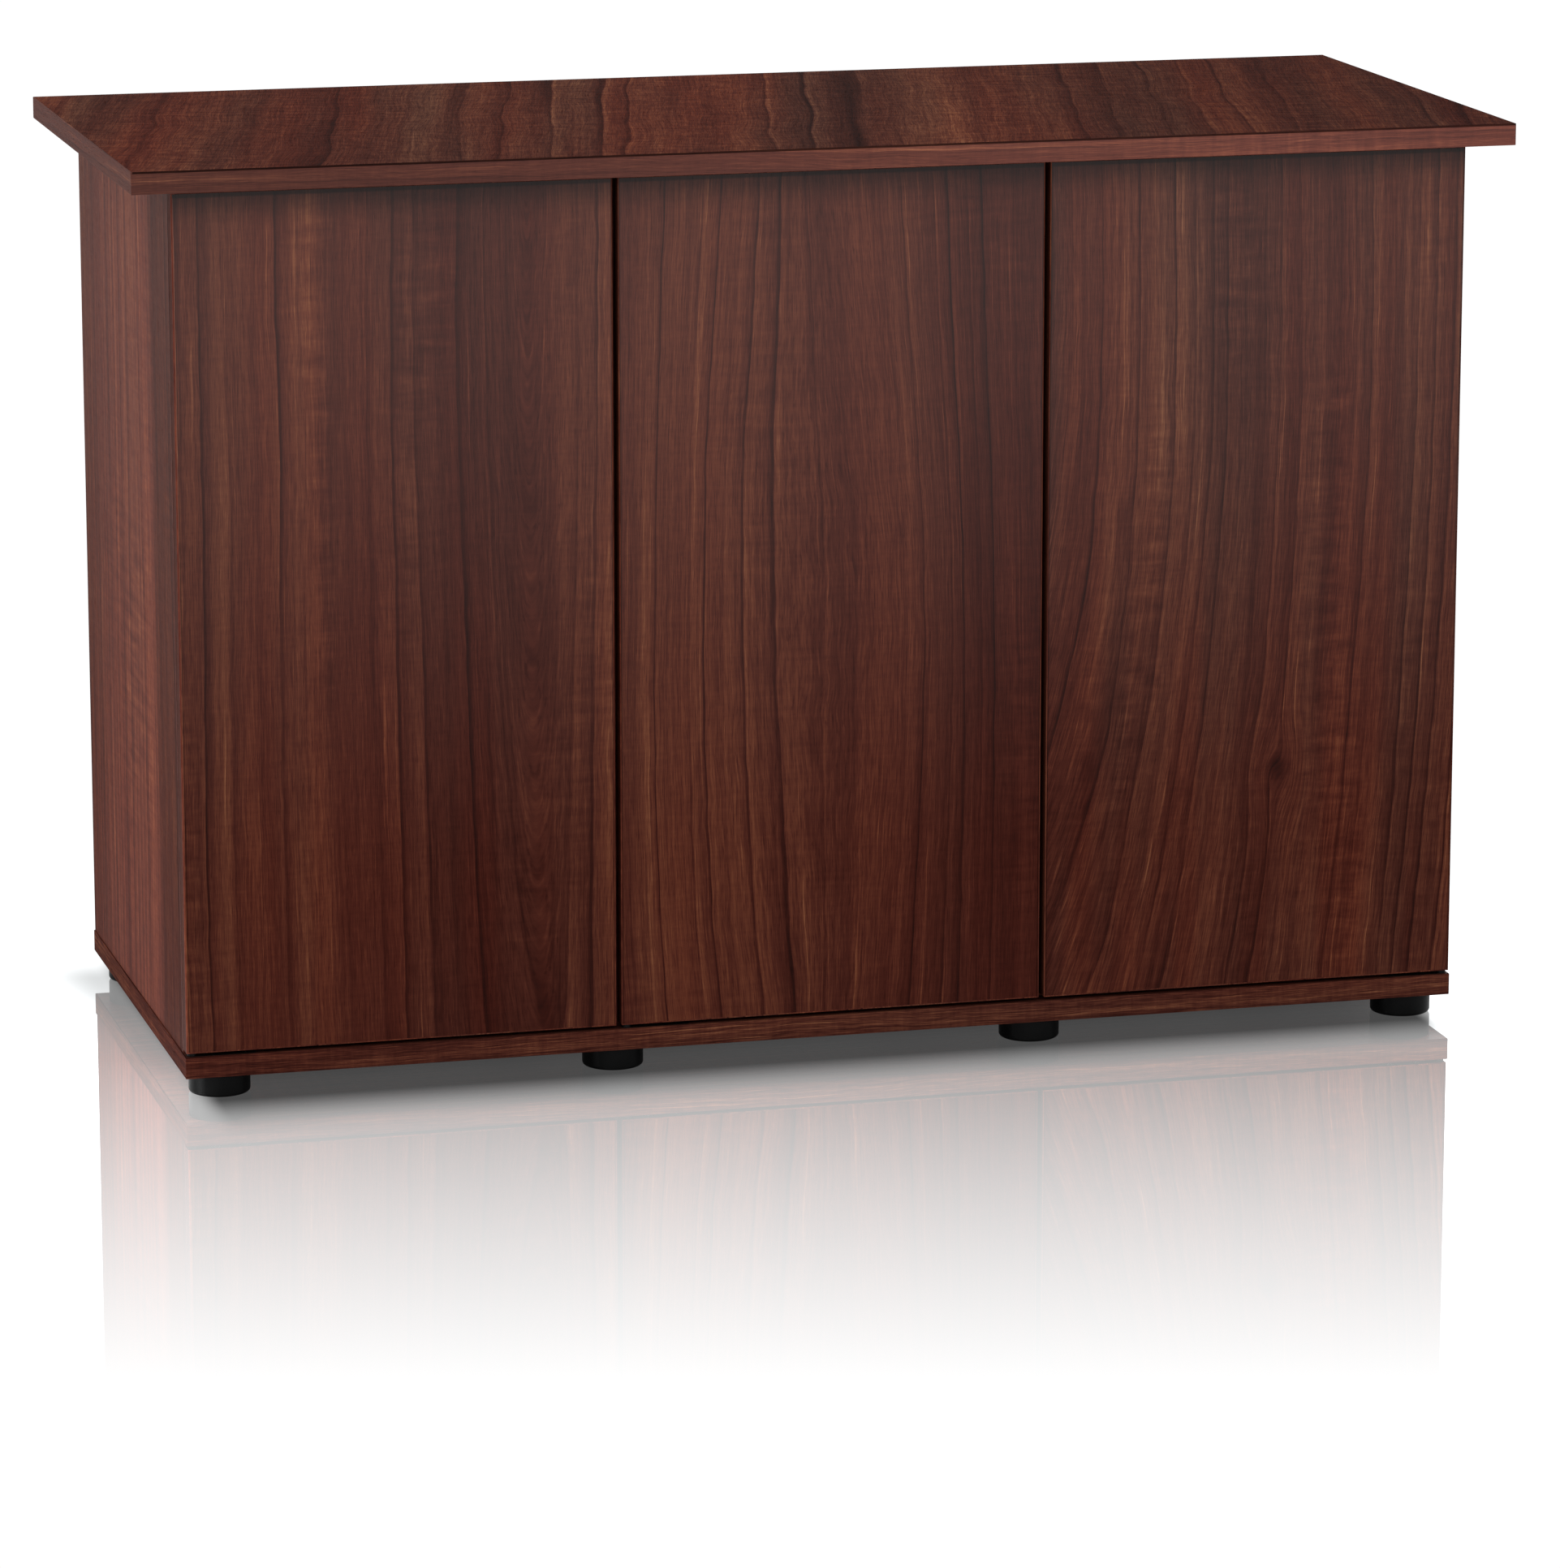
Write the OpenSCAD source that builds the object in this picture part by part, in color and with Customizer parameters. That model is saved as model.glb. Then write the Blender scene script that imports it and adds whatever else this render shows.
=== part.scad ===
// Aquarium stand cabinet: three doors on knife hinges between an overhanging top and a base.
// Millimetres, +Z up, front towards -Y, origin on the floor under the middle of the top.

/* [Overall] */
// Width over the top panel
stand_w = 1210; // [900:10:1500]
// Depth over the top panel
stand_d = 510; // [420:5:650]
// Height from the floor to the top
stand_h = 800; // [650:5:900]

/* [Boards] */
// Thickness of the top, base, sides and partitions
board_t = 19; // [18:1:25]
// Thickness of doors, backs and shelves
thin_t = 16; // [15:1:19]
// Thickness of the edge bands
band_t = 1; // [0.5:0.1:1.5]
// How far the base stands out past the body
base_lip = 1; // [0:0.5:4]

/* [Overhangs] */
// Top panel beyond the body at each side
side_over = 37; // [10:1:60]
// Top panel beyond the door fronts
front_over = 25; // [15:1:60]
// Top panel beyond the back
back_over = 17; // [0:1:60]

/* [Doors] */
// Gap between two doors
door_gap = 5; // [4:0.5:8]
// Gap above and below each door
end_gap = 3; // [2:0.5:5]
// Gap between a door and the carcass
buffer_gap = 1.5; // [1:0.5:3]

/* [Inside] */
// Height of the shelves' underside
shelf_z = 402; // [200:1:600]
// Width of the hose notch in each back
notch_w = 140; // [80:5:200]
// Depth of the hose notch
notch_h = 70; // [50:5:120]

/* [Feet] */
// Foot radius
foot_r = 26.5; // [20:0.5:35]
// Foot height
foot_h = 20; // [15:1:40]

/* [Hidden] */
$fn = 64;
fit = 0.05;
past = 1; // how far a cutting shape runs past the face it opens

up_z = foot_h + board_t;
top_z = stand_h - board_t;
body_x = stand_w / 2 - side_over;
door_y = -stand_d / 2 + front_over;
rear_y = stand_d / 2 - back_over;
front_y = door_y + thin_t + buffer_gap;
door_w = (2 * body_x - 2 * door_gap) / 3;
door_z0 = up_z + end_gap;
door_z1 = top_z - end_gap;
half_t = board_t / 2;
notch_r = 20;
shelf_side_gap = 2;
shelf_set_back = 12;

// Uprights' centre planes, then each door's hinged edge and the way it runs from there
upright_x = [-body_x + half_t, -(door_w + door_gap) / 2, (door_w + door_gap) / 2, body_x - half_t];
door_at = [[-body_x, 1], [-door_w / 2, 1], [body_x, -1]];

// Knife hinge, measured from its pin at the middle of the end gap
pin_u = 5;
pin_v = 5;
pin_r = 2.5;
leaf_l = 60;
leaf_w = 12;
leaf_t = 3;
leaf_r = 4;
leaf_mid = leaf_w / 2 - leaf_r;
leaf_screws = [20, 46];
pin_past = 3; // how far the pin runs past the door's leaf
pin_bore = 12;

// Screws: shank radius, head radius, head height
leaf_screw = [2, 3.9, 2];
leaf_screw_l = 13.5;
strike_screw = [1.5, 2.6, 1];
strike_screw_l = 11.5;
latch_screw = [1.75, 3.4, 1.9];
foot_screw = [2, 4, 2.9];

// Cam fittings and dowels that join the uprights to the top and base
cam_ys = [-150, 170];
cam_r = 7.5;
cam_d = 12.5;
cam_back = 34;
bolt_r = 3;
bolt_in = 11;
dowel_ys = [-110, 130];
dowel_r = 4;
dowel_in = 15;

// Dowels that join the backs to the uprights
back_dowel_zs = [120, 410, 700];
back_dowel_in = 8;
back_dowel_l = 24;

// Rows of shelf-pin bores, 37 mm from the front edge and from the back
row_in = 37;
row_ys = [front_y + row_in, rear_y - thin_t - row_in];
row_pitch = 32;
row_d = 10;
shelf_pin_r = 2.5;
shelf_pin_z = shelf_z - shelf_pin_r;
// Upright and side of it for each pair of shelf-pin rows
row_faces = [[0, 1], [1, -1], [2, 1], [3, -1]];

// Push latch: place of its plunger, its housing's length and its fixing tab
latch_u = door_w - 16;
latch_v = 22;
latch_z = top_z - 9.5;
latch_r = 4;
latch_w = 14;
latch_h = 18;
latch_l = 60;
tab_l = 24;
tab_t = 3;
tab_screws = [88, 99];
strike_r = 6;
strike_t = 1.2;

buffer_r = 3;
buffer_zs = [110, 710];

foot_in = [33.5, 31.5];
mid_foot_x = 188.5;
foot_xs = [-body_x + foot_in[0], -mid_foot_x, mid_foot_x, body_x - foot_in[0]];
foot_ys = [door_y + foot_in[1], rear_y - foot_in[1]];
foot_recess = [8, 12]; // radius and depth of the screw's recess

wood = [0.30, 0.17, 0.13];
wood_edge = [0.42, 0.25, 0.19];
steel = [0.72, 0.72, 0.72];
black = [0.04, 0.04, 0.04];

// ---- helpers -------------------------------------------------------------------------

module block(a, b) {
  translate(a) cube(b - a);
}

module rod_z(x, y, z0, z1, r) {
  translate([x, y, min(z0, z1)]) cylinder(h = abs(z1 - z0), r = r);
}

// Cylinder into the upright's face on side s, starting at the face
module into_face(k, s, y, z, depth, r) {
  translate([upright_x[k] + s * half_t, y, z]) rotate([0, -90 * s, 0]) cylinder(h = depth, r = r);
}

module ring(a, b, t) {
  difference() {
    block(a, b);
    block([a[0] + t, a[1] + t, a[2] - past], [b[0] - t, b[1] - t, b[2] + past]);
  }
}

// Countersunk screw s, head flush at z = 0, shank towards -z; g enlarges it into its hole
module screw(s, len, g = 0) {
  translate([0, 0, -len - g]) cylinder(h = len + g, r = s[0] + g);
  translate([0, 0, -s[2] - g]) cylinder(h = s[2] + g, r1 = s[0] + g, r2 = s[1] + g);
}

// Cross recess that opens at z = 0
module cross_recess(arm, depth) {
  slot = 0.8;
  for (a = [0, 90]) rotate([0, 0, a])
    translate([-arm, -slot / 2, -depth]) cube([2 * arm, slot, depth + past]);
}

module driven_screw(s, len) {
  difference() {
    screw(s, len);
    cross_recess(s[1] * 0.55, s[2] * 0.6);
  }
}

// Pan-head screw s standing up through z = 0, head below it
module pan_screw(s, len) {
  difference() {
    union() {
      translate([0, 0, -s[2]]) cylinder(h = s[2], r = s[1]);
      cylinder(h = len, r = s[0]);
    }
    translate([0, 0, -s[2]]) mirror([0, 0, 1]) cross_recess(s[1] * 0.55, s[2] * 0.4);
  }
}

// Door frame of reference: u from the hinged edge, v from the door's front, z from the floor
module at_door(i) {
  translate([door_at[i][0], door_y, 0])
    if (door_at[i][1] < 0) mirror([1, 0, 0]) children();
    else children();
}

// Hinge frame of reference: on the pin, mid gap, +z into the door
module at_hinge(i, top) {
  at_door(i) translate([pin_u, pin_v, top ? top_z - end_gap / 2 : up_z + end_gap / 2])
    if (top) mirror([0, 0, 1]) children();
    else children();
}

// Outline of a leaf, rounded about the pin; g enlarges it
module leaf_blank(g) {
  r = leaf_r;
  translate([-r - g, -g]) square([leaf_l + 2 * g, leaf_w - 2 * r + 2 * g]);
  translate([-g, -r - g]) square([leaf_l - 2 * r + 2 * g, leaf_w + 2 * g]);
  for (x = [0, leaf_l - 2 * r], y = [0, leaf_w - 2 * r]) translate([x, y]) circle(r = r + g);
}

// Places a part made for a face at z = 0, pointing to -z, on the fixed or the door side
module on_leaf(door_side) {
  if (door_side) mirror([0, 0, 1]) translate([0, 0, -end_gap / 2]) children();
  else translate([0, 0, -end_gap / 2]) children();
}

module leaf(door_side) {
  on_leaf(door_side) difference() {
    translate([0, 0, -leaf_t]) linear_extrude(height = leaf_t) leaf_blank(0);
    translate([0, 0, -leaf_t - past]) cylinder(h = leaf_t + 2 * past, r = pin_r + fit);
    for (x = leaf_screws) translate([x, leaf_mid, 0]) screw(leaf_screw, leaf_screw_l, fit);
  }
}

module mortise(door_side) {
  on_leaf(door_side) {
    translate([0, 0, -leaf_t - fit]) linear_extrude(height = leaf_t + past) leaf_blank(fit);
    for (x = leaf_screws) translate([x, leaf_mid, -leaf_screw_l - fit])
      cylinder(h = leaf_screw_l, r = leaf_screw[0] + fit);
    if (door_side) translate([0, 0, -pin_bore]) cylinder(h = pin_bore, r = pin_r + 0.5);
  }
}

module leaf_screw_pair(door_side) {
  on_leaf(door_side) for (x = leaf_screws) translate([x, leaf_mid, -fit])
    driven_screw(leaf_screw, leaf_screw_l - fit);
}

// ---- carcass -------------------------------------------------------------------------

// Bores in the top and base for the fittings of all uprights
module upright_bores(z, dz) {
  for (k = [0:3]) {
    for (y = cam_ys) rod_z(upright_x[k], y, z - dz, z + dz * (bolt_in + 0.5), bolt_r + fit);
    for (y = dowel_ys) rod_z(upright_x[k], y, z - dz, z + dz * (dowel_in + 0.5), dowel_r + fit);
  }
}

module top_panel() {
  color(wood) difference() {
    block([-stand_w / 2 + band_t, -stand_d / 2 + band_t, top_z],
          [stand_w / 2 - band_t, stand_d / 2 - band_t, stand_h]);
    upright_bores(top_z, 1);
    for (i = [0:2]) {
      at_hinge(i, true) mortise(false);
      for (v = tab_screws) at_door(i) rod_z(latch_u, v, top_z - past, top_z + 12, latch_screw[0] + fit);
    }
  }
}

module top_edge_bands() {
  color(wood_edge)
    ring([-stand_w / 2, -stand_d / 2, top_z], [stand_w / 2, stand_d / 2, stand_h], band_t);
}

module base_panel() {
  color(wood) difference() {
    block([-body_x - base_lip + band_t, door_y - base_lip + band_t, foot_h],
          [body_x + base_lip - band_t, rear_y + base_lip - band_t, up_z]);
    upright_bores(up_z, -1);
    for (i = [0:2]) at_hinge(i, false) mortise(false);
    for (x = foot_xs, y = foot_ys) rod_z(x, y, foot_h - past, foot_h + 14.5, foot_screw[0] + fit);
  }
}

module base_edge_bands() {
  color(wood_edge) ring([-body_x - base_lip, door_y - base_lip, foot_h],
                        [body_x + base_lip, rear_y + base_lip, up_z], band_t);
}

module upright(k) {
  x = upright_x[k];
  s = k < 2 ? 1 : -1;
  color(wood) difference() {
    block([x - half_t, front_y + band_t, up_z], [x + half_t, rear_y, top_z]);
    for (top = [0, 1]) {
      face_z = top ? top_z : up_z;
      dz = top ? 1 : -1;
      for (y = cam_ys) {
        into_face(k, s, y, face_z - dz * cam_back, cam_d, cam_r);
        rod_z(x, y, face_z - dz * cam_back, face_z + dz, bolt_r + 0.5);
      }
      for (y = dowel_ys) rod_z(x, y, face_z - dz * (dowel_in + 0.5), face_z + dz, dowel_r + fit);
    }
    for (f = row_faces) if (f[0] == k)
      for (y = row_ys, n = [-3:3])
        into_face(k, f[1], y, shelf_pin_z + n * row_pitch, row_d, shelf_pin_r);
    for (side = [-1, 1]) if (abs(x + side * board_t) < body_x)
      for (z = back_dowel_zs)
        into_face(k, side, rear_y - thin_t / 2, z, back_dowel_in + 0.5, dowel_r + fit);
  }
}

module left_side_panel() { upright(0); }
module left_partition() { upright(1); }
module right_partition() { upright(2); }
module right_side_panel() { upright(3); }

module upright_edge_bands() {
  color(wood_edge) for (x = upright_x)
    block([x - half_t, front_y, up_z], [x + half_t, front_y + band_t, top_z]);
}

module back_panel(k) {
  x0 = upright_x[k] + half_t;
  x1 = upright_x[k + 1] - half_t;
  cx = (x0 + x1) / 2;
  y0 = rear_y - thin_t;
  r = notch_r;
  w = notch_w / 2;
  bore = back_dowel_l - back_dowel_in + 0.5;
  color(wood) difference() {
    block([x0, y0, up_z], [x1, rear_y, top_z]);
    block([cx - w, y0 - past, top_z - notch_h + r], [cx + w, rear_y + past, top_z + past]);
    block([cx - w + r, y0 - past, top_z - notch_h], [cx + w - r, rear_y + past, top_z + past]);
    for (x = [cx - w + r, cx + w - r])
      translate([x, rear_y + past, top_z - notch_h + r]) rotate([90, 0, 0])
        cylinder(h = thin_t + 2 * past, r = r);
    for (z = back_dowel_zs, x = [x0 - past, x1 - bore])
      translate([x, y0 + thin_t / 2, z]) rotate([0, 90, 0])
        cylinder(h = bore + past, r = dowel_r + fit);
  }
}

module left_back_panel() { back_panel(0); }
module middle_back_panel() { back_panel(1); }
module right_back_panel() { back_panel(2); }

module shelf(k) {
  x0 = upright_x[k] + half_t + shelf_side_gap;
  x1 = upright_x[k + 1] - half_t - shelf_side_gap;
  color(wood) block([x0, front_y + shelf_set_back + band_t, shelf_z],
                    [x1, rear_y - thin_t - shelf_side_gap, shelf_z + thin_t]);
}

module left_shelf() { shelf(0); }
module right_shelf() { shelf(2); }

module shelf_edge_bands() {
  color(wood_edge) for (k = [0, 2])
    block([upright_x[k] + half_t + shelf_side_gap, front_y + shelf_set_back, shelf_z],
          [upright_x[k + 1] - half_t - shelf_side_gap, front_y + shelf_set_back + band_t,
           shelf_z + thin_t]);
}

// Each pin has a flange that stops it at the upright's face
module shelf_pins() {
  out = 9;
  flange_t = 1.5;
  color(steel) for (f = row_faces, y = row_ys) {
    translate([out * f[1], 0, 0])
      into_face(f[0], f[1], y, shelf_pin_z, out + row_d - 0.5, shelf_pin_r - fit);
    translate([flange_t * f[1], 0, 0]) into_face(f[0], f[1], y, shelf_pin_z, flange_t, 4.5);
  }
}

// ---- fittings ------------------------------------------------------------------------

module cam_locks() {
  color(steel) for (k = [0:3], y = cam_ys, top = [0, 1]) {
    s = k < 2 ? 1 : -1;
    dz = top ? 1 : -1;
    z = top ? top_z - cam_back : up_z + cam_back;
    difference() {
      into_face(k, s, y, z, cam_d - fit, cam_r - fit);
      rod_z(upright_x[k], y, z, z + dz * 10, bolt_r + 0.6);
      translate([upright_x[k] + s * half_t, y, z]) rotate([0, 90 * s, 0]) rotate([0, 0, 45])
        cross_recess(4.5, 1);
    }
  }
}

module cam_bolts() {
  color(steel) for (x = upright_x, y = cam_ys, top = [0, 1]) {
    z = top ? top_z : up_z;
    dz = top ? 1 : -1;
    rod_z(x, y, z - dz * (cam_back - 1), z + dz * bolt_in, bolt_r);
  }
}

module dowels() {
  color([0.78, 0.62, 0.42]) {
    for (x = upright_x, y = dowel_ys, z = [top_z, up_z])
      rod_z(x, y, z - dowel_in, z + dowel_in, dowel_r);
    for (k = [0:2], z = back_dowel_zs) {
      x0 = upright_x[k] + half_t - back_dowel_in;
      x1 = upright_x[k + 1] - half_t + back_dowel_in - back_dowel_l;
      for (x = [x0, x1]) translate([x, rear_y - thin_t / 2, z]) rotate([0, 90, 0])
        cylinder(h = back_dowel_l, r = dowel_r);
    }
  }
}

module hinge_frame_leaves() {
  color(steel) for (i = [0:2], top = [false, true]) at_hinge(i, top) leaf(false);
}

module hinge_pins() {
  color(steel) for (i = [0:2], top = [false, true]) at_hinge(i, top)
    translate([0, 0, -end_gap / 2 - leaf_t])
      cylinder(h = end_gap + 2 * leaf_t + pin_past, r = pin_r);
}

module hinge_washers() {
  color([0.85, 0.84, 0.80]) for (i = [0:2], top = [false, true]) at_hinge(i, top)
    translate([0, 0, -end_gap / 2]) difference() {
      cylinder(h = end_gap - fit, r = leaf_r);
      translate([0, 0, -past]) cylinder(h = end_gap + 2 * past, r = pin_r + fit);
    }
}

module hinge_frame_screws() {
  color(steel) for (i = [0:2], top = [false, true]) at_hinge(i, top) leaf_screw_pair(false);
}

module latch_bodies() {
  half_w = latch_w / 2;
  tab_v = latch_v + latch_l;
  color(black) for (i = [0:2]) at_door(i) difference() {
    union() {
      block([latch_u - half_w, latch_v, top_z - latch_h], [latch_u + half_w, tab_v, top_z]);
      block([latch_u - half_w, tab_v - past, top_z - tab_t],
            [latch_u + half_w, tab_v + tab_l, top_z]);
      translate([latch_u, latch_v + past, latch_z]) rotate([90, 0, 0]) cylinder(h = 3, r = 6);
    }
    translate([latch_u, latch_v + latch_l - 8, latch_z]) rotate([90, 0, 0])
      cylinder(h = latch_l, r = latch_r + 0.1);
    for (v = tab_screws) rod_z(latch_u, v, top_z - tab_t - past, top_z + past, latch_screw[0] + fit);
  }
}

module latch_screws() {
  color(steel) for (i = [0:2], v = tab_screws) at_door(i)
    translate([latch_u, v, top_z - tab_t - fit]) pan_screw(latch_screw, 14.5);
}

// The plunger's tip is chamfered and grooved
module plunger(i) {
  chamfer = 0.6;
  color([0.75, 0.75, 0.73]) at_door(i)
    translate([latch_u, thin_t + strike_t + 0.15, latch_z]) rotate([-90, 0, 0]) difference() {
      union() {
        cylinder(h = chamfer, r1 = latch_r - chamfer, r2 = latch_r);
        translate([0, 0, chamfer]) cylinder(h = latch_l - 9, r = latch_r);
      }
      translate([0, 0, 2.2]) difference() {
        cylinder(h = chamfer, r = latch_r + past);
        translate([0, 0, -past]) cylinder(h = chamfer + 2 * past, r = latch_r - 0.35);
      }
    }
}

module left_plunger() { plunger(0); }
module middle_plunger() { plunger(1); }
module right_plunger() { plunger(2); }

module door_buffers() {
  color([0.88, 0.88, 0.86]) for (i = [0:2], z = buffer_zs) at_door(i)
    translate([door_w - buffer_r - 0.4, thin_t + buffer_gap, z]) rotate([90, 0, 0])
      cylinder(h = buffer_gap - 0.2, r = buffer_r);
}

// ---- feet ----------------------------------------------------------------------------

module foot(i, j) {
  rim = 3;
  color(black) translate([foot_xs[i], foot_ys[j], 0]) difference() {
    rotate_extrude() {
      square([foot_r - rim, foot_h]);
      translate([0, rim]) square([foot_r, foot_h - rim]);
      translate([foot_r - rim, rim]) circle(r = rim);
    }
    translate([0, 0, -past]) cylinder(h = foot_recess[1] + past, r = foot_recess[0]);
    cylinder(h = foot_h + past, r = foot_screw[0] + 0.2);
  }
}

module front_left_foot() { foot(0, 0); }
module front_mid_left_foot() { foot(1, 0); }
module front_mid_right_foot() { foot(2, 0); }
module front_right_foot() { foot(3, 0); }
module rear_left_foot() { foot(0, 1); }
module rear_mid_left_foot() { foot(1, 1); }
module rear_mid_right_foot() { foot(2, 1); }
module rear_right_foot() { foot(3, 1); }

module foot_screws() {
  color(steel) for (x = foot_xs, y = foot_ys)
    translate([x, y, foot_recess[1] - fit]) pan_screw(foot_screw, 22);
}

// ---- doors ---------------------------------------------------------------------------

module door_panel(i) {
  color(wood) difference() {
    at_door(i) block([band_t, 0, door_z0 + band_t], [door_w - band_t, thin_t, door_z1 - band_t]);
    for (top = [false, true]) at_hinge(i, top) mortise(true);
    at_door(i) translate([latch_u, thin_t + 1, latch_z]) rotate([90, 0, 0])
      cylinder(h = strike_screw_l + past, r = strike_screw[0] + fit);
  }
}

module door_bands(i) {
  color(wood_edge) difference() {
    at_door(i) difference() {
      block([0, 0, door_z0], [door_w, thin_t, door_z1]);
      block([band_t, -past, door_z0 + band_t],
            [door_w - band_t, thin_t + past, door_z1 - band_t]);
    }
    for (top = [false, true]) at_hinge(i, top) mortise(true);
  }
}

module door_leaves(i) {
  color(steel) for (top = [false, true]) at_hinge(i, top) leaf(true);
}

module door_screws(i) {
  color(steel) {
    for (top = [false, true]) at_hinge(i, top) leaf_screw_pair(true);
    at_door(i) translate([latch_u, thin_t + strike_t - fit, latch_z]) rotate([-90, 0, 0])
      driven_screw(strike_screw, strike_screw_l);
  }
}

module strike(i) {
  color(steel) at_door(i) translate([latch_u, thin_t + strike_t, latch_z]) rotate([-90, 0, 0])
    difference() {
      translate([0, 0, -strike_t]) cylinder(h = strike_t, r = strike_r);
      screw(strike_screw, strike_t + past, 0.1);
    }
}

module left_door_panel() { door_panel(0); }
module left_door_bands() { door_bands(0); }
module left_door_leaves() { door_leaves(0); }
module left_door_screws() { door_screws(0); }
module left_strike() { strike(0); }
module middle_door_panel() { door_panel(1); }
module middle_door_bands() { door_bands(1); }
module middle_door_leaves() { door_leaves(1); }
module middle_door_screws() { door_screws(1); }
module middle_strike() { strike(1); }
module right_door_panel() { door_panel(2); }
module right_door_bands() { door_bands(2); }
module right_door_leaves() { door_leaves(2); }
module right_door_screws() { door_screws(2); }
module right_strike() { strike(2); }

top_panel();
top_edge_bands();
base_panel();
base_edge_bands();
left_side_panel();
right_side_panel();
left_partition();
right_partition();
upright_edge_bands();
left_back_panel();
middle_back_panel();
right_back_panel();
left_shelf();
right_shelf();
shelf_edge_bands();
shelf_pins();
cam_locks();
cam_bolts();
dowels();
foot_screws();
hinge_frame_leaves();
hinge_pins();
hinge_washers();
hinge_frame_screws();
latch_bodies();
latch_screws();
door_buffers();
front_left_foot();
front_mid_left_foot();
front_mid_right_foot();
front_right_foot();
rear_left_foot();
rear_mid_left_foot();
rear_mid_right_foot();
rear_right_foot();
left_door_panel();
left_door_bands();
left_door_leaves();
left_door_screws();
left_strike();
middle_door_panel();
middle_door_bands();
middle_door_leaves();
middle_door_screws();
middle_strike();
right_door_panel();
right_door_bands();
right_door_leaves();
right_door_screws();
right_strike();
left_plunger();
middle_plunger();
right_plunger();
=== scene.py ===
"""Looks for the aquarium stand cabinet: wood-look laminates, fittings, floor, lights and camera."""

import math

import bpy
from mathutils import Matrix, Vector


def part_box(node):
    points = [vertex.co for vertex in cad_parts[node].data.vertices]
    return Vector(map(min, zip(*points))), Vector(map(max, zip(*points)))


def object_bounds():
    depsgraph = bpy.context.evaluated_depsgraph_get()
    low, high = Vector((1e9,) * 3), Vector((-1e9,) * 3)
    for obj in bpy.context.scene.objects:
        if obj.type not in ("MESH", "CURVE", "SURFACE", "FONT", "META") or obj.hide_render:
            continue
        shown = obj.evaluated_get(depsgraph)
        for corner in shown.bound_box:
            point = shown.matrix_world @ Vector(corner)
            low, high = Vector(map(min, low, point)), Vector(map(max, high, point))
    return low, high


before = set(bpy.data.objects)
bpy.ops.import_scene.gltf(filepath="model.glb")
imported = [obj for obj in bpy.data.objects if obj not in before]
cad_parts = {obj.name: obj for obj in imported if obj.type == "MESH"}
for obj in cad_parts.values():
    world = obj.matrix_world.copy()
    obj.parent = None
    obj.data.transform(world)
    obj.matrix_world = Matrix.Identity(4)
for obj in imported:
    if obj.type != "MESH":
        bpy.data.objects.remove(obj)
cad_box = [list(corner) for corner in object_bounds()]
low, high = (Vector(corner) for corner in cad_box)

# ---- camera -----------------------------------------------------------------------------

CAMERA_AT = Vector((-1.586, -6.032, 1.601))
CAMERA_YAW = math.radians(14.86)
CAMERA_PITCH = math.radians(12.71)
LENS_MM = 164.0
SENSOR_MM = 36.0


def make_camera():
    data = bpy.data.cameras.new("camera")
    data.lens = LENS_MM
    data.sensor_width = SENSOR_MM
    camera = bpy.data.objects.new("camera", data)
    bpy.context.collection.objects.link(camera)
    forward = Vector((
        math.sin(CAMERA_YAW) * math.cos(CAMERA_PITCH),
        math.cos(CAMERA_YAW) * math.cos(CAMERA_PITCH),
        -math.sin(CAMERA_PITCH),
    ))
    camera.location = CAMERA_AT
    camera.rotation_mode = "QUATERNION"
    camera.rotation_quaternion = forward.to_track_quat("-Z", "Y")
    data.clip_end = 200
    bpy.context.scene.camera = camera


# ---- node graphs ------------------------------------------------------------------------


def srgb(red, green, blue):
    """A screen colour, 0 to 255, as the linear colour that shaders take."""
    def linear(value):
        value /= 255
        return value / 12.92 if value <= 0.04045 else ((value + 0.055) / 1.055) ** 2.4
    return (linear(red), linear(green), linear(blue), 1.0)


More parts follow.
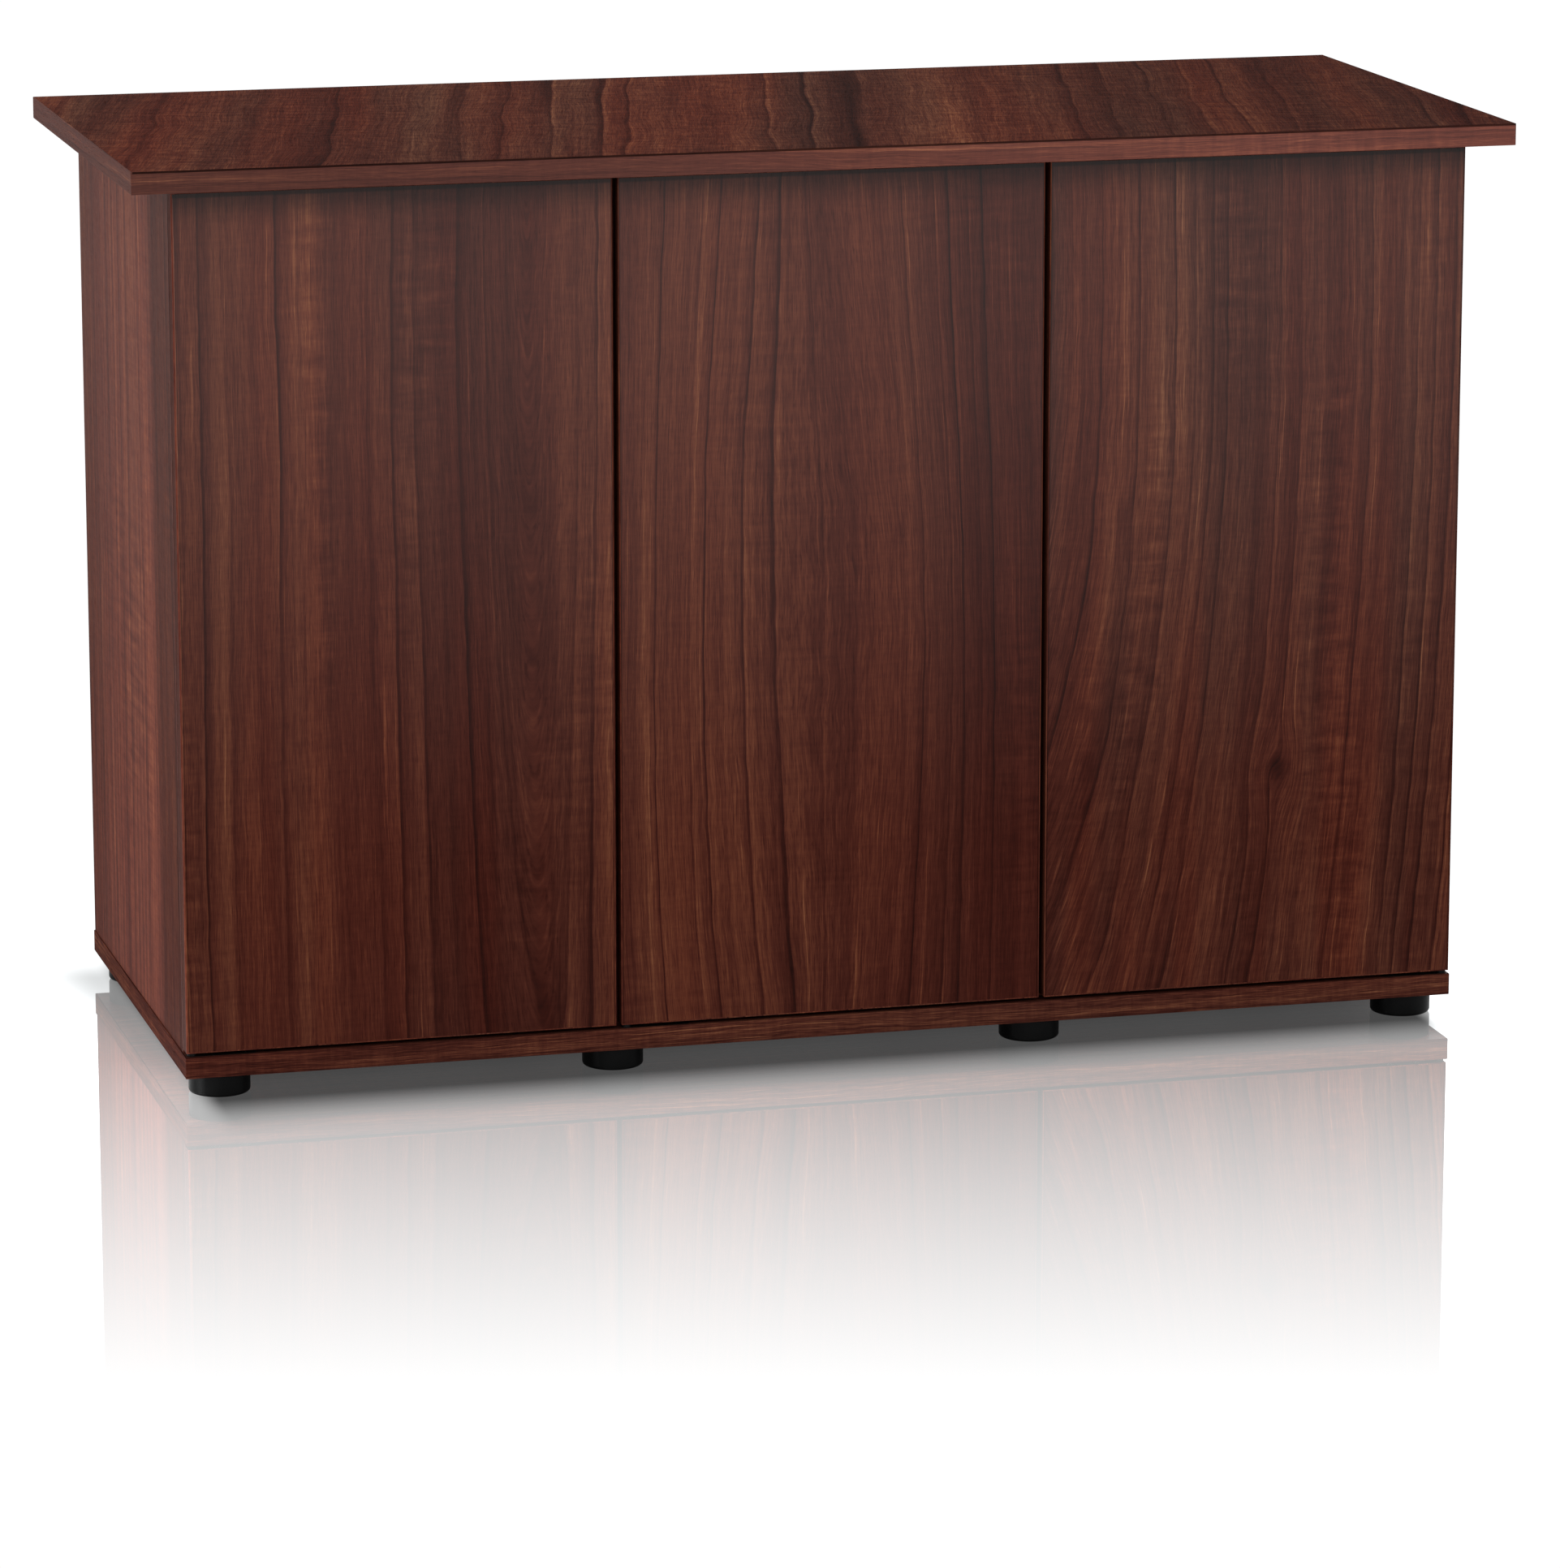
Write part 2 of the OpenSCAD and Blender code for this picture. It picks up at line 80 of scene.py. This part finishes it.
class Graph:
    """A node tree with short calls that each return an output socket."""

    def __init__(self, tree):
        tree.nodes.clear()
        self.tree = tree

    def put(self, socket, value):
        if isinstance(value, bpy.types.NodeSocket):
            self.tree.links.new(value, socket)
        else:
            socket.default_value = value

    def node(self, kind, **inputs):
        node = self.tree.nodes.new(kind)
        for name, value in inputs.items():
            self.put(node.inputs[name.replace("_", " ")], value)
        return node

    def math(self, operation, first, second=0.0, clamp=False):
        node = self.tree.nodes.new("ShaderNodeMath")
        node.operation = operation
        node.use_clamp = clamp
        self.put(node.inputs[0], first)
        self.put(node.inputs[1], second)
        return node.outputs[0]

    def plus(self, *terms):
        total = terms[0]
        for term in terms[1:]:
            total = self.math("ADD", total, term)
        return total

    def times(self, first, second):
        return self.math("MULTIPLY", first, second)

    def step(self, value, start, end, out_start=0.0, out_end=1.0):
        """A smooth step from out_start to out_end as value goes from start to end."""
        node = self.tree.nodes.new("ShaderNodeMapRange")
        node.interpolation_type = "SMOOTHSTEP"
        limits = (value, start, end, out_start, out_end)
        for socket, limit in zip(node.inputs, limits):
            self.put(socket, limit)
        return node.outputs[0]

    def vector(self, x, y, z):
        node = self.tree.nodes.new("ShaderNodeCombineXYZ")
        for socket, value in zip(node.inputs, (x, y, z)):
            self.put(socket, value)
        return node.outputs[0]

    def noise(self, vector, detail=2.0, roughness=0.5):
        """Noise about zero, from roughly -0.5 to 0.5."""
        node = self.node("ShaderNodeTexNoise", Vector=vector, Scale=1.0, Detail=detail,
                         Roughness=roughness)
        return self.math("SUBTRACT", node.outputs[0], 0.5)

    def random(self, value):
        node = self.tree.nodes.new("ShaderNodeTexWhiteNoise")
        node.noise_dimensions = "1D"
        self.put(node.inputs["W"], value)
        return node.outputs[0]

    def ramp(self, value, stops):
        node = self.tree.nodes.new("ShaderNodeValToRGB")
        self.put(node.inputs[0], value)
        elements = node.color_ramp.elements
        while len(elements) < len(stops):
            elements.new(1.0)
        for element, (position, colour) in zip(elements, stops):
            element.position = position
            element.color = colour
        return node.outputs[0]

    def mix(self, share, first, second, blend="MIX"):
        node = self.tree.nodes.new("ShaderNodeMix")
        node.data_type = "RGBA"
        node.blend_type = blend
        self.put(node.inputs[0], share)
        self.put(node.inputs[6], first)
        self.put(node.inputs[7], second)
        return node.outputs[2]

    def place(self):
        """The x, y and z of a point in the cabinet's own frame at rest."""
        coordinates = self.tree.nodes.new("ShaderNodeTexCoord")
        parts = self.node("ShaderNodeSeparateXYZ", Vector=coordinates.outputs["Object"])
        return parts.outputs


def new_material(name):
    material = bpy.data.materials.new(name)
    material.use_nodes = True
    graph = Graph(material.node_tree)
    shader = graph.tree.nodes.new("ShaderNodeBsdfPrincipled")
    output = graph.tree.nodes.new("ShaderNodeOutputMaterial")
    graph.tree.links.new(shader.outputs[0], output.inputs[0])
    return material, graph, shader


def bump(graph, shader, height, distance):
    node = graph.node("ShaderNodeBump", Strength=1.0, Distance=distance, Height=height)
    graph.put(shader.inputs["Normal"], node.outputs[0])


# ---- wood -------------------------------------------------------------------------------

RED_WOOD = [
    (0.00, srgb(42, 19, 16)),
    (0.30, srgb(64, 27, 21)),
    (0.50, srgb(83, 38, 29)),
    (0.70, srgb(108, 55, 39)),
    (1.00, srgb(152, 94, 62)),
]
BROWN_WOOD = [
    (0.00, srgb(38, 22, 20)),
    (0.30, srgb(56, 31, 26)),
    (0.50, srgb(75, 44, 36)),
    (0.70, srgb(99, 63, 48)),
    (1.00, srgb(144, 102, 76)),
]
# A pale tint that some laminates mix in as a painted reflection's haze
HAZE_TINT = srgb(190, 168, 164)


def around(graph, across, along, spot):
    """A soft hill, 1 at a spot (across, along, width, length) and 0 well away from it,
    and the distance across from the spot."""
    place, height, width, length = spot
    off = graph.plus(across, -place)
    sideways = graph.times(off, 1 / width)
    lengthwise = graph.times(graph.plus(along, -height), 1 / length)
    reach = graph.plus(graph.times(sideways, sideways), graph.times(lengthwise, lengthwise))
    return graph.math("EXPONENT", graph.times(reach, -1.0)), off


def figure(graph, across, along, seed, heart, eyes, knots, ring_gap, wave, fleck, hair):
    """The figure of a sawn board: its tone about 0.5, its dark lines, pores, hue and fibre.
    The lines arch round the heart, swell round each eye and squeeze past each knot. wave is
    how far a line wanders and how often a metre; fleck is an amount and its scales across
    and along; hair is how strongly fine pale hairs show."""
    noise, plus, times, step = graph.noise, graph.plus, graph.times, graph.step

    def at(per_metre_across, per_metre_along, offset):
        """A place in a noise of that many features a metre; each offset is its own noise."""
        return graph.vector(
            times(bent, per_metre_across), plus(drift, seed + offset),
            times(along, per_metre_along))

    bent, drift = across, 0.0
    bent = plus(across, times(noise(at(2.5, 0.8, 0.3), 2.0), 0.05),
                times(noise(at(20, wave[1], 0.7), 1.0), wave[0]))
    for spot in eyes + knots:
        hill, off = around(graph, across, along, spot)
        push = -0.6 if spot in eyes else -0.9
        bent = plus(bent, times(times(hill, off), push))
    if heart:
        centre, depth, slope = heart
        off = plus(bent, -centre)
        drop = plus(times(along, slope), depth)
        bent = graph.math("SQRT", plus(times(off, off), times(drop, drop)))
        drift = times(off, 20.0)

    broad = noise(at(9, 0.5, 1.1), 2.0)
    streak = noise(at(70, 1.5, 2.7), 3.0, 0.6)
    fine = noise(at(420, 6, 3.9), 3.0, 0.7)
    fibre = noise(at(1500, 45, 5.3), 2.0, 0.6)
    hairs = times(step(noise(at(700, 5, 11.4), 1.0), 0.10, 0.26), step(streak, -0.05, 0.15))
    curl = times(noise(at(16, 110, 6.1), 2.0), step(noise(at(7, 2.2, 7.7), 1.0), -0.02, 0.2))

    # Growth rings: each darkens slowly and ends in a thin line, some more than others
    ring = plus(times(bent, 1 / ring_gap), times(noise(at(30, 0.6, 8.9), 1.0), 1.2), 100.0)
    turn = graph.math("FRACT", ring)
    late = times(step(turn, 0.2, 0.95), step(turn, 0.95, 1.0, 1.0, 0.0))
    which = graph.random(plus(graph.math("FLOOR", ring), seed))
    shown = times(step(which, 0.1, 0.9), step(noise(at(8, 1.7, 9.3), 1.0), -0.2, 0.15, 0.25, 1.0))
    lines = times(times(step(turn, 0.80, 0.94), step(turn, 0.96, 1.0, 1.0, 0.0)), shown)
    pale = times(times(step(turn, 0.0, 0.05), step(turn, 0.05, 0.2, 1.0, 0.0)), shown)

    pores = step(noise(at(1500, 95, 4.4), 1.0), 0.10, 0.22)
    tone = plus(
        0.53, times(broad, 0.45), times(streak, 0.32), times(fine, 0.42), times(fibre, 0.55),
        times(curl, 0.38), times(noise(at(*fleck[1:], 12.6), 2.0), fleck[0]), times(hairs, hair),
        times(pale, 0.08),
        times(late, times(which, -0.12)),
    )
    for spot in knots:
        hill, off = around(graph, across, along, [*spot[:2], spot[2] / 3, spot[3] / 4])
        tone = plus(tone, times(hill, -0.3))
    hue = step(noise(at(12, 0.7, 10.2), 2.0), -0.22, 0.22)
    return tone, lines, pores, hue, fibre


def wood(name, axes, seed, light, haze, heart=None, eyes=(), knots=(), ring_gap=0.016,
         wave=(0.0035, 20), fleck=(0.12, 55, 300), hair=0.22, profile=None, shade=None,
         roughness=0.42, red=0.7, contrast=1.0, line_depth=0.30, painted_haze=0.0):
    """Wood-look laminate. axes gives the across and along coordinates from x, y and z.
    light scales the colour, and haze is the specular level at the foot and at the top; where
    the two differ, it paints a sheen that grows with height. profile adds given tone along the
    across axis; shade multiplies by place, painting in light and shade; painted_haze is the
    share of a pale tint that paints in the haze of a reflection."""
    material, graph, shader = new_material(name)
    x, y, z = graph.place()
    across, along = axes(graph, x, y, z)
    tone, lines, pores, hue, fibre = figure(
        graph, across, along, seed, heart, list(eyes), list(knots), ring_gap, wave, fleck, hair)
    tone = graph.plus(graph.times(tone, contrast), 0.5 - 0.5 * contrast)
    if profile:
        start, end, stops = profile
        where = graph.math("DIVIDE", graph.plus(across, -start), end - start)
        curve = graph.ramp(where, [(at, (0.5 + add,) * 3 + (1.0,)) for at, add in stops])
        tone = graph.plus(tone, curve, -0.5)
    tone = graph.plus(tone, graph.times(lines, -line_depth), graph.times(pores, -0.10))
    hue = graph.math("MULTIPLY", hue, 2.0 * (1.0 - red), clamp=True)
    colour = graph.mix(hue, graph.ramp(tone, RED_WOOD), graph.ramp(tone, BROWN_WOOD))
    # A share of the pale tint paints in the haze of a reflection
    colour = graph.mix(painted_haze, colour, HAZE_TINT)
    factor = light
    if shade:
        factor = graph.times(shade(graph, x, y, z), light)
    colour = graph.mix(1.0, colour, graph.vector(factor, factor, factor), "MULTIPLY")
    graph.put(shader.inputs["Base Color"], colour)
    graph.put(shader.inputs["Roughness"], graph.plus(
        roughness, graph.times(pores, 0.15), graph.times(fibre, 0.12)))
    # Where haze's two values differ, the specular level paints a sheen that grows with height
    graph.put(shader.inputs["Specular IOR Level"], graph.step(z, 0.15, high.z, *haze))
    relief = graph.plus(graph.times(pores, -1.0), graph.times(lines, -0.6), fibre)
    bump(graph, shader, relief, 0.00006)
    return material


def upright_front(graph, x, y, z):
    return x, z


def upright_side(graph, x, y, z):
    return y, z


def lying_aslant(graph, x, y, z):
    """Across and along a figure that runs a little aslant of front to back."""
    across = graph.plus(graph.times(x, 0.97), graph.times(y, -0.24))
    return across, graph.plus(graph.times(x, 0.24), graph.times(y, 0.97))


def lying_lengthwise(graph, x, y, z):
    return y, x


def edge_strip(graph, x, y, z):
    return z, graph.plus(x, y)


def upright_edge(graph, x, y, z):
    return graph.plus(x, y), z


# Painted shade and light on the doors, in metres: how far below the top the painted shadow
# starts and ends, where a darker painted shadow line lies close under it, how wide a door's
# shaded upright edges are, how far the shade's edge is softened, and how wide the painted
# highlight on the left door's rounded left edge is
TOP_SHADOW = (0.036, 0.006)
TOP_LINE = (0.0085, 0.0065)
JOINT_SHADE = 0.0014
SOFTENING = 0.0002
ROUNDED_EDGE = 0.0010


def door_light(side):
    """Painted light and shade on a door, by place. It falls off downwards. The outer face also
    has painted shade close under the top and along the upright bands, and a painted highlight
    where the rounded left edge of the left door catches light."""
    start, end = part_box(f"{side}_door_panel")
    reach = ROUNDED_EDGE if side == "left" else 0.0
    middle = (start[1] + end[1]) / 2
    under_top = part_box("top_panel")[0][2]
    left = start[0] + reach
    right = end[0]

    def shade(graph, x, y, z):
        times, step = graph.times, graph.step
        # Painted light falling off downwards, and on the outer face a painted shadow under the top
        # with a darker painted shadow line close under it
        fall = step(z, low.z, high.z, 0.70, 1.02)
        shelter = times(
            step(z, under_top - TOP_SHADOW[0], under_top - TOP_SHADOW[1], 1.0, 0.5),
            step(z, under_top - TOP_LINE[0], under_top - TOP_LINE[1], 1.0, 0.3))
        # Painted shade along the door's upright edges
        edge_shade_and_highlight = times(
            step(x, left + SOFTENING, left + JOINT_SHADE, 0.35, 1.0),
            step(x, right - JOINT_SHADE, right - SOFTENING, 1.0, 0.35))
        # A painted highlight on the left door's rounded left edge
        if reach:
            edge_shade_and_highlight = graph.plus(edge_shade_and_highlight, step(x, left, left + SOFTENING, 1.0, 0.0))
        inner = step(y, middle - 0.001, middle + 0.001)
        return times(fall, graph.math("MAXIMUM", times(shelter, edge_shade_and_highlight), inner))
    return shade


def darker_ends(graph, x, y, z):
    """Painted shade: the side panels darken towards their front and rear edges."""
    return graph.times(
        graph.step(y, -0.14, -0.10, 0.55, 1.0), graph.step(y, 0.10, 0.235, 1.0, 0.68))


def darker_right(graph, x, y, z):
    """Painted shade: the top dims a little towards the right."""
    return graph.step(x, 0.05, 0.5, 1.0, 0.76)


def glue_line_and_painted_light(graph, x, y, z):
    """Painted light on the top's band: it brightens from left to right, and its left end is
    dimmer. The band also has a thin dark line where the top's laminate meets it, except along
    its left end."""
    line = graph.step(z, high.z - 0.0019, high.z - 0.0015, 1.0, 0.2)
    left_end = graph.step(x, low.x + 0.0010, low.x + 0.0014, 1.0, 0.0)
    line = graph.math("MAXIMUM", line, left_end)
    # Painted light along the band: brighter towards the right, and dimmer on its left end
    run = graph.times(
        graph.step(x, low.x, 0.5, 0.72, 1.22),
        graph.step(x, low.x, low.x + 0.0008, 0.85, 1.0))
    return graph.times(line, run)


def shadow_gap(graph, x, y, z):
    """Painted shadow: the upper face of the base is dark in the gap under the doors."""
    door_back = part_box("middle_door_bands")[1][1]
    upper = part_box("base_panel")[1][2]
    covered = graph.times(
        graph.step(z, upper - 0.0006, upper - 0.0002),
        graph.step(y, door_back - 0.004, door_back + 0.008, 1.0, 0.0))
    return graph.plus(1.0, graph.times(covered, -0.5))


def rim_light_and_shade(graph, x, y, z):
    """Painted light and shade on a door's band: it is darker round the door's edges than on the
    rim that shows from the front, and that rim has a painted highlight at the left edge of the
    left door."""
    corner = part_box("left_door_bands")[0]
    rim = graph.step(x, corner[0] + 0.002, corner[0] + 0.004, 1.6, 0.85)
    return graph.step(y, corner[1] + 0.0008, corner[1] + 0.0014, rim, 0.6)


# Each door's figure, and tone added at shares of the way across the door. A heart is its
# place across, its depth behind the face and that depth's slope; eyes and knots are spots
# on the face, as around() takes them; red is the redder palette's share of the colour
DOORS = {
    "left": dict(
        figure=dict(seed=3.0, heart=(-0.262, 0.0405, -0.045), ring_gap=0.020, red=0.8),
        tones=[(0.0, -0.01), (0.3, 0.04), (0.5, 0.0), (0.7, -0.11), (0.82, -0.06), (1.0, 0.11)]),
    "middle": dict(
        figure=dict(seed=11.0, eyes=[(-0.02, 0.36, 0.13, 0.42)], red=0.85),
        tones=[(0.0, -0.06), (0.12, 0.09), (0.3, 0.06), (0.5, -0.06), (0.7, -0.01), (0.86, -0.11),
               (1.0, -0.16)]),
    "right": dict(
        figure=dict(seed=23.0, heart=(0.10, 0.175, -0.25), knots=[(0.405, 0.235, 0.022, 0.045)],
                    contrast=1.15),
        tones=[(0.0, -0.10), (0.25, 0.08), (0.5, -0.05), (0.75, -0.02), (0.9, -0.03),
               (1.0, 0.10)]),
}


def door_material(side):
    look = DOORS[side]
    start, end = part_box(f"{side}_door_bands")
    return wood(
        f"{side}_door_laminate", upright_front, light=0.74, haze=(0.003, 0.28),
        profile=(start[0], end[0], look["tones"]), shade=door_light(side),
        **look["figure"],
    )


# ---- other materials --------------------------------------------------------------------


DUST_SCALE = 35
SPECKLE_SPREAD = 0.15


def speckled(name, colour, roughness, scale, depth, metallic=0.0, gloss=0.5):
    """A moulded or plated surface: fine mottling in colour, roughness and height, and a
    broader unevenness in colour. scale is mottles a metre."""
    material, graph, shader = new_material(name)
    place = graph.place()
    mottle = graph.noise(graph.vector(*(graph.times(axis, scale) for axis in place)), 4.0, 0.6)
    dust = graph.noise(graph.vector(*(graph.times(axis, DUST_SCALE) for axis in place)), 2.0)
    factor = graph.plus(
        1.0, graph.times(mottle, SPECKLE_SPREAD), graph.times(dust, SPECKLE_SPREAD))
    graph.put(shader.inputs["Base Color"], graph.mix(
        1.0, colour, graph.vector(factor, factor, factor), "MULTIPLY"))
    graph.put(shader.inputs["Roughness"], graph.plus(roughness, graph.times(mottle, 0.2)))
    graph.put(shader.inputs["Metallic"], metallic)
    graph.put(shader.inputs["Specular IOR Level"], gloss)
    bump(graph, shader, mottle, depth)
    return material


# ---- floor, lights, world ---------------------------------------------------------------

FLOOR_REACH = 40.0
# The floor lies this far under the feet, so that the two faces don't coincide
FLOOR_GAP = 0.0004
FLOOR_WHITE = 1.04

# How much the floor mirrors near the cabinet's foot, the most it may, how far out that fades
# to nothing, and how much nearer it fades at the sides
FLOOR_MIRROR = 0.815
MIRROR_LIMIT = 0.66
FLOOR_FADE = 1.2
SIDE_FADE = 0.07
MIRROR_ROUGHNESS = 0.015

# A fixed direction over the floor, x and y: the main camera's heading reversed. The mirror
# fades and brightens along it, so it is right in the main view and stays put in the others
AHEAD = (-0.256, -0.967)
# The mirror's brightness behind the cabinet and in front of it
MIRROR_BRIGHTNESS = (1.2, 2.7)

# How much darker the contact shadow and the soft shadow beside the cabinet make the paint,
# and how much weaker they make the mirror
CONTACT_SHADOW = (1.0, 0.7)
SIDE_SHADOW = (0.3, 0.45)


def floor_material():
    """White paint that gives its own light, under a soft mirror, with painted shadows."""
    material = bpy.data.materials.new("floor")
    material.use_nodes = True
    graph = Graph(material.node_tree)
    plus, times, step = graph.plus, graph.times, graph.step
    x, y, _ = graph.place()
    near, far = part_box("base_edge_bands")

    # Distance out from the base: sideways, frontwards or rearwards, and straight
    out_x = plus(graph.math("ABSOLUTE", x), -far[0])
    out_y = graph.math("MAXIMUM", plus(graph.math("ABSOLUTE", y), near[1]), 0.0)
    aside = graph.math("MAXIMUM", out_x, 0.0)
    away = graph.math("SQRT", plus(times(aside, aside), times(out_y, out_y)))
    ahead = plus(times(x, AHEAD[0]), times(y, AHEAD[1]))

    contact = times(step(out_y, -0.02, 0.14, 1.0, 0.0), step(out_x, -0.03, 0.0, 1.0, 0.0))
    beside = times(step(aside, 0.0, 0.06, 1.0, 0.0), times(
        step(y, -0.2, 0.2), step(y, far[1] - 0.03, far[1] + 0.05, 1.0, 0.0)))
    white = plus(FLOOR_WHITE, times(contact, -CONTACT_SHADOW[0]), times(beside, -SIDE_SHADOW[0]))
    paint = graph.node("ShaderNodeEmission", Color=graph.vector(white, white, white))
    material.cycles.emission_sampling = "NONE"

    brightness = times(
        step(ahead, -0.1, 0.3, *MIRROR_BRIGHTNESS), plus(1.0, times(beside, -SIDE_SHADOW[1])))
    tint = graph.vector(times(brightness, 0.97), brightness, times(brightness, 1.01))
    polish = graph.node("ShaderNodeBsdfGlossy", Roughness=MIRROR_ROUGHNESS, Color=tint)

    fade = graph.math("MAXIMUM", ahead, plus(away, SIDE_FADE))
    mirror = graph.math(
        "MULTIPLY", plus(times(fade, -1 / FLOOR_FADE), 1.0), FLOOR_MIRROR, clamp=True)
    mirror = times(
        graph.math("MINIMUM", mirror, MIRROR_LIMIT), plus(1.0, times(contact, -CONTACT_SHADOW[1])))
    mixed = graph.node("ShaderNodeMixShader", Fac=mirror)
    graph.put(mixed.inputs[1], paint.outputs[0])
    graph.put(mixed.inputs[2], polish.outputs[0])
    output = graph.tree.nodes.new("ShaderNodeOutputMaterial")
    graph.put(output.inputs[0], mixed.outputs[0])
    return material


def make_floor():
    mesh = bpy.data.meshes.new("floor")
    corners = [(x * FLOOR_REACH, y * FLOOR_REACH, 0)
               for x, y in ((-1, -1), (1, -1), (1, 1), (-1, 1))]
    mesh.from_pydata(corners, [], [(0, 1, 2, 3)])
    mesh.materials.append(floor_material())
    floor = bpy.data.objects.new("floor", mesh)
    floor.location.z = low.z - FLOOR_GAP
    bpy.context.collection.objects.link(floor)


def make_world():
    """A soft studio dome, a little dimmer overhead than towards the horizon."""
    world = bpy.data.worlds.new("studio")
    world.use_nodes = True
    bpy.context.scene.world = world
    graph = Graph(world.node_tree)
    z = graph.place()[2]
    strength = graph.step(z, 0.3, 0.7, 1.06, 1.0)
    sky = graph.node("ShaderNodeBackground", Color=(1.0, 1.0, 1.0, 1.0), Strength=strength)
    output = graph.tree.nodes.new("ShaderNodeOutputWorld")
    graph.put(output.inputs[0], sky.outputs[0])


def area_light(name, at, towards, size, watts):
    data = bpy.data.lights.new(name, "AREA")
    data.shape = "RECTANGLE"
    data.size, data.size_y = size
    data.energy = watts
    light = bpy.data.objects.new(name, data)
    light.location = at
    light.rotation_mode = "QUATERNION"
    light.rotation_quaternion = (Vector(towards) - Vector(at)).to_track_quat("-Z", "Y")
    bpy.context.collection.objects.link(light)


# ---- dressing the cabinet ---------------------------------------------------------------


def dress(node, material, soften=0.0):
    """Gives a node its material and, for a band, slightly rounded edges."""
    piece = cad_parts[node]
    for slot in piece.material_slots:
        slot.link = "OBJECT"
        slot.material = material
    if soften:
        weld = piece.modifiers.new("weld", "WELD")
        weld.merge_threshold = 0.00002
        rounding = piece.modifiers.new("rounding", "BEVEL")
        rounding.width = soften
        rounding.segments = 2
        rounding.limit_method = "ANGLE"
        rounding.angle_limit = math.radians(50)


make_camera()
make_floor()
make_world()
area_light("key", (-2.6, -4.5, 3.4), (0.0, 0.0, 0.4), (2.5, 2.0), 45)
area_light("left", (-4.2, -0.4, 1.6), (-0.57, 0.0, 0.4), (1.6, 1.6), 70)

# The side panels get painted shade towards their ends and a little painted reflection haze
side_laminate = wood("side_laminate", upright_side, 31.0, 0.82, (0.001, 0.006),
                     shade=darker_ends, contrast=1.3, red=0.9, painted_haze=0.02)
partition_laminate = wood("partition_laminate", upright_side, 41.0, 1.1, (0.1, 0.1))
shelf_laminate = wood("shelf_laminate", lying_lengthwise, 45.0, 1.1, (0.1, 0.1))
base_laminate = wood("base_laminate", lying_lengthwise, 49.0, 1.0, (0.05, 0.05), shade=shadow_gap)
top_laminate = wood("top_laminate", lying_aslant, 57.0, 0.85, (0.0001, 0.0001), ring_gap=0.038,
                    wave=(0.014, 8), fleck=(0.34, 60, 150), hair=0.0, roughness=0.3, red=0.5,
                    contrast=1.2, line_depth=0.25, shade=darker_right)
# The door bands carry painted shade on their edges and a painted highlight on their rim
door_band = wood("door_band", upright_edge, 71.0, 0.8, (0.003, 0.003), shade=rim_light_and_shade)
shelf_band = wood("shelf_band", edge_strip, 73.0, 0.9, (0.05, 0.05))
upright_band = wood("upright_band", upright_edge, 77.0, 0.9, (0.05, 0.05))
# The top's band carries painted light along its length
top_band = wood("top_band", edge_strip, 83.0, 1.05, (0.004, 0.004), shade=glue_line_and_painted_light, painted_haze=0.04)
base_band = wood("base_band", edge_strip, 97.0, 0.60, (0.0005, 0.0005), contrast=1.8, red=0.6,
                 shade=shadow_gap)
foot_plastic = speckled("foot_plastic", srgb(9, 9, 9), 0.42, 900, 0.00003, gloss=0.04)
latch_plastic = speckled("latch_plastic", srgb(22, 22, 23), 0.5, 900, 0.00003)
nylon = speckled("black_nylon", srgb(10, 10, 10), 0.5, 700, 0.00002, gloss=0.05)
rubber = speckled("rubber", srgb(206, 206, 202), 0.35, 700, 0.00002)
beech = wood("beech", upright_edge, 15.0, 6.0, (0.3, 0.3), red=0.3)
black_steel = speckled("black_steel", srgb(18, 17, 17), 0.45, 500, 0.00002, gloss=0.1)
steel = speckled("steel", srgb(188, 188, 190), 0.32, 500, 0.00002, metallic=1.0)

BACK_SEEDS = {"left": 43.0, "middle": 51.0, "right": 63.0}

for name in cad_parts:
    side = name.split("_")[0]
    if name.endswith("_door_panel"):
        dress(name, door_material(side))
    elif name.endswith("_door_bands"):
        dress(name, door_band, 0.0004)
    elif name == "top_panel":
        dress(name, top_laminate)
    elif name == "top_edge_bands":
        dress(name, top_band, 0.0005)
    elif name == "base_edge_bands":
        dress(name, base_band, 0.0005)
    elif name in ("left_side_panel", "right_side_panel"):
        dress(name, side_laminate)
    elif name == "base_panel":
        dress(name, base_laminate)
    elif name.endswith("_shelf"):
        dress(name, shelf_laminate)
    elif name.endswith("_back_panel"):
        dress(name, wood(f"{name}_laminate", upright_front, BACK_SEEDS[side], 1.0, (0.1, 0.1)))
    elif name.endswith("_partition"):
        dress(name, partition_laminate)
    elif name == "shelf_edge_bands":
        dress(name, shelf_band)
    elif name == "upright_edge_bands":
        dress(name, upright_band)
    elif name.endswith("_foot"):
        dress(name, foot_plastic)
    elif name == "latch_bodies":
        dress(name, latch_plastic)
    elif name.endswith("_door_leaves") or name in (
            "hinge_frame_leaves", "hinge_frame_screws", "hinge_pins"):
        dress(name, black_steel)
    elif name == "hinge_washers":
        dress(name, nylon)
    elif name == "door_buffers":
        dress(name, rubber)
    elif name == "dowels":
        dress(name, beech)
    else:
        dress(name, steel)

bpy.context.scene.view_settings.view_transform = "Standard"
